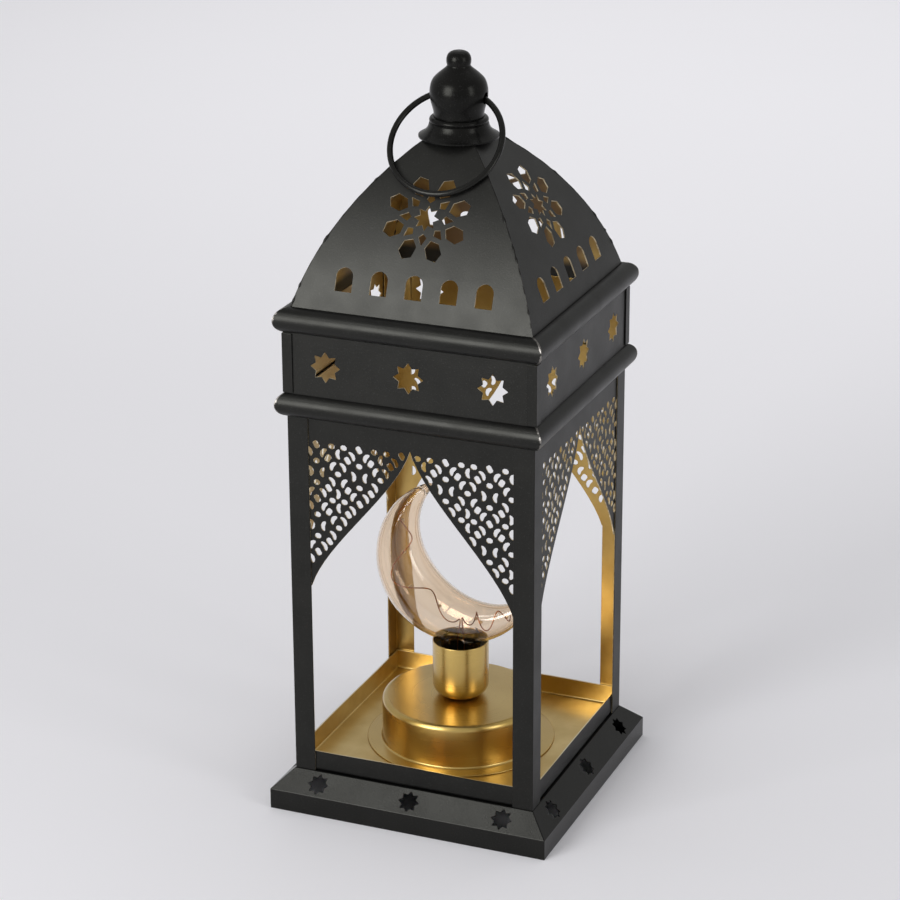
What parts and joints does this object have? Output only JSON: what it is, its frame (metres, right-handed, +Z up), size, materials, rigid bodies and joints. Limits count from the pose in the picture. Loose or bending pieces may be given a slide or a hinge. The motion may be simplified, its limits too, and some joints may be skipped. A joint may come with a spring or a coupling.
{
  "type": "lantern",
  "caption": "Square sheet-metal table lantern with pierced arches and dome, a ring handle on top, and a battery-lit glass crescent on a gold drum inside.",
  "frame": {"origin": "on the floor under the middle of the plinth", "axes": "+Z up, the front with the hanging ring towards -Y, +X to the right"},
  "size_m": [0.14, 0.14, 0.36],
  "materials": {
    "black_coat": "satin black powder coat outside, gold paint inside",
    "gold_coat": "satin gold metallic paint",
    "bare_steel": "zinc plated",
    "black_plastic": "fine grain",
    "amber_glass": "clear amber lustre",
    "copper_wire": "bright drawn wire",
    "clear_resin": "clear drops",
    "cell_wrap": "plain grey sleeve"
  },
  "bodies": {
    "lantern": {"plinth_front": "black_coat", "plinth_right": "black_coat", "plinth_back": "black_coat", "plinth_left": "black_coat", "post_fl": "black_coat", "post_fr": "black_coat", "post_br": "black_coat", "post_bl": "black_coat", "screen_front": "black_coat", "screen_right": "black_coat", "screen_back": "black_coat", "screen_left": "black_coat", "lower_bead_front": "black_coat", "lower_bead_right": "black_coat", "lower_bead_back": "black_coat", "lower_bead_left": "black_coat", "frieze_front": "black_coat", "frieze_right": "black_coat", "frieze_back": "black_coat", "frieze_left": "black_coat", "angle_fl": "black_coat", "angle_fr": "black_coat", "angle_br": "black_coat", "angle_bl": "black_coat", "upper_bead_front": "black_coat", "upper_bead_right": "black_coat", "upper_bead_back": "black_coat", "upper_bead_left": "black_coat", "dome_front": "black_coat", "dome_right": "black_coat", "dome_back": "black_coat", "dome_left": "black_coat", "crown_plate": "black_coat", "finial_bell": "black_coat", "finial_ball": "black_coat", "tray": "gold_coat", "lamp_drum": "gold_coat", "lamp_cup": "gold_coat", "finial_insert": "bare_steel", "finial_screw": "bare_steel", "cup_eyelet": "bare_steel", "cell_springs": "bare_steel", "cell_contacts": "bare_steel", "case_studs": "bare_steel", "case_nuts": "bare_steel", "battery_case": "black_plastic", "switch_body": "black_plastic", "moon_plug": "black_plastic", "leads": "black_plastic", "moon_glass": "amber_glass", "light_wire": "copper_wire", "light_drops": "clear_resin", "cells": "cell_wrap"},
    "ring": {"ring_handle": "black_coat"},
    "lid": {"battery_lid": "black_plastic"},
    "slider": {"switch_slider": "black_plastic"}
  },
  "joints": [
    {"name": "ring_swing", "type": "hinge", "parent": "lantern", "child": "ring", "pos_m": [0, 0, 0.33871], "axis": [-1, 0, 0], "range_deg": [0, 274.8]},
    {"name": "lid_slide", "type": "slide", "parent": "lantern", "child": "lid", "axis": [0, 1, 0], "range_m": [0, 0.024]},
    {"name": "switch_slide", "type": "slide", "parent": "lantern", "child": "slider", "axis": [1, 0, 0], "range_m": [0, 0.0044]}
  ]
}
